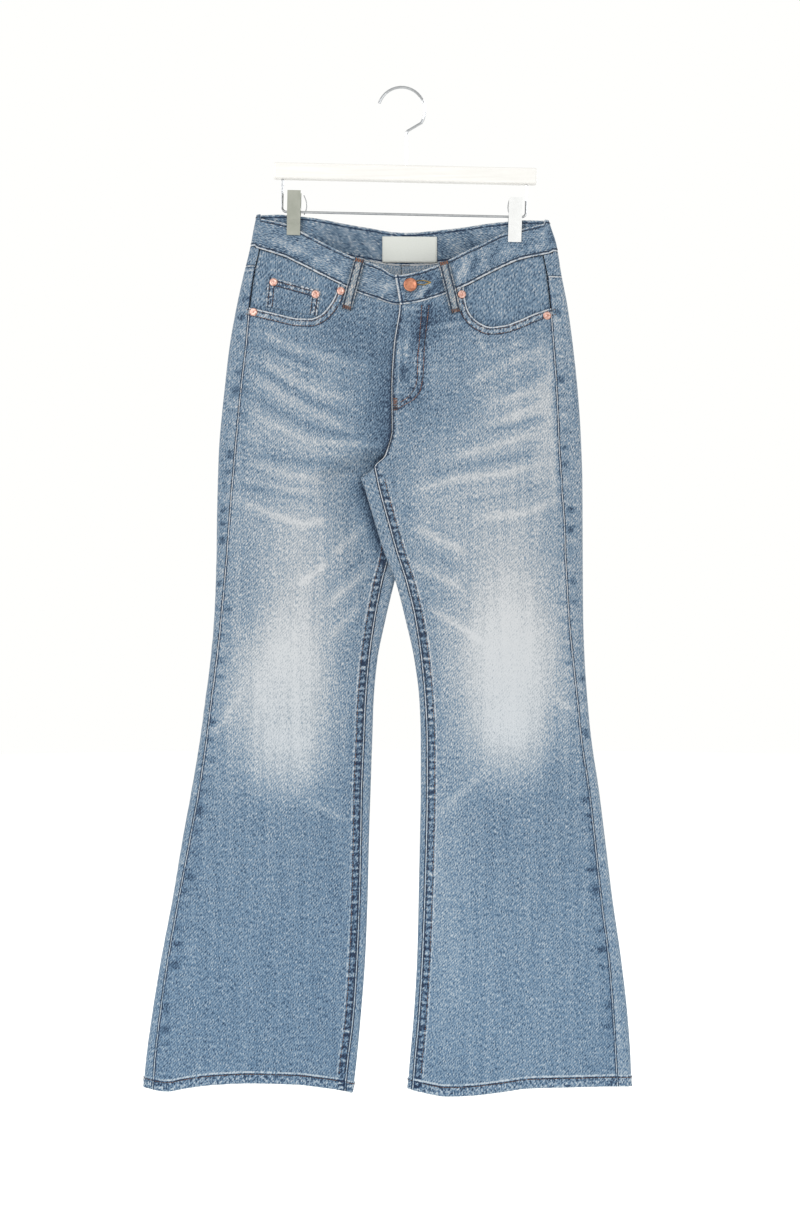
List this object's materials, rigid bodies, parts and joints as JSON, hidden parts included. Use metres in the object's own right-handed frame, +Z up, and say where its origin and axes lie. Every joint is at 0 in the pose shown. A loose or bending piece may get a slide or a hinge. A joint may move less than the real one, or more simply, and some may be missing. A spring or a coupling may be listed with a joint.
{
  "type": "bootcut jeans on a clip hanger",
  "caption": "Bootcut denim jeans with flared hems, hung by the waistband from a bar hanger with two spring clips; legs and waist are open hollows.",
  "frame": {"origin": "the seat of the hanger's hook, the inner top of its curve, where a rod carries it", "axes": "+Z up along the hanging jeans, +X towards the wearer's left, -Y out of the front of the jeans"},
  "size_m": [0.5896, 0.0625, 1.2149],
  "materials": {
    "denim": "stonewashed twill, faded at thighs and knees",
    "label": "plain pale patch",
    "copper": "rose copper, lightly worn",
    "white_paint": "satin white paint",
    "chrome": "polished wire",
    "clip_plate": "pale satin plate"
  },
  "bodies": {
    "root": {"hanger_bar": "white_paint", "hanger_hook": "chrome", "hanger_rail": "chrome", "clip_right": "clip_plate", "clip_left": "clip_plate", "front_panel_right": "denim", "front_panel_left": "denim", "back_panel_right": "denim", "back_panel_left": "denim", "back_yoke_right": "denim", "back_yoke_left": "denim", "waistband": "denim", "pocket_facing_right": "denim", "pocket_facing_left": "denim", "coin_pocket": "denim", "back_pocket_right": "denim", "back_pocket_left": "denim", "belt_loop_front_right": "denim", "belt_loop_front_left": "denim", "belt_loop_back_right": "denim", "belt_loop_back_left": "denim", "belt_loop_back_middle": "denim", "waist_label": "label", "waist_button": "copper", "rivet_coin_outer": "copper", "rivet_coin_inner": "copper", "rivet_right_inner": "copper", "rivet_right_outer": "copper", "rivet_left_inner": "copper", "rivet_left_outer": "copper"}
  },
  "joints": []
}
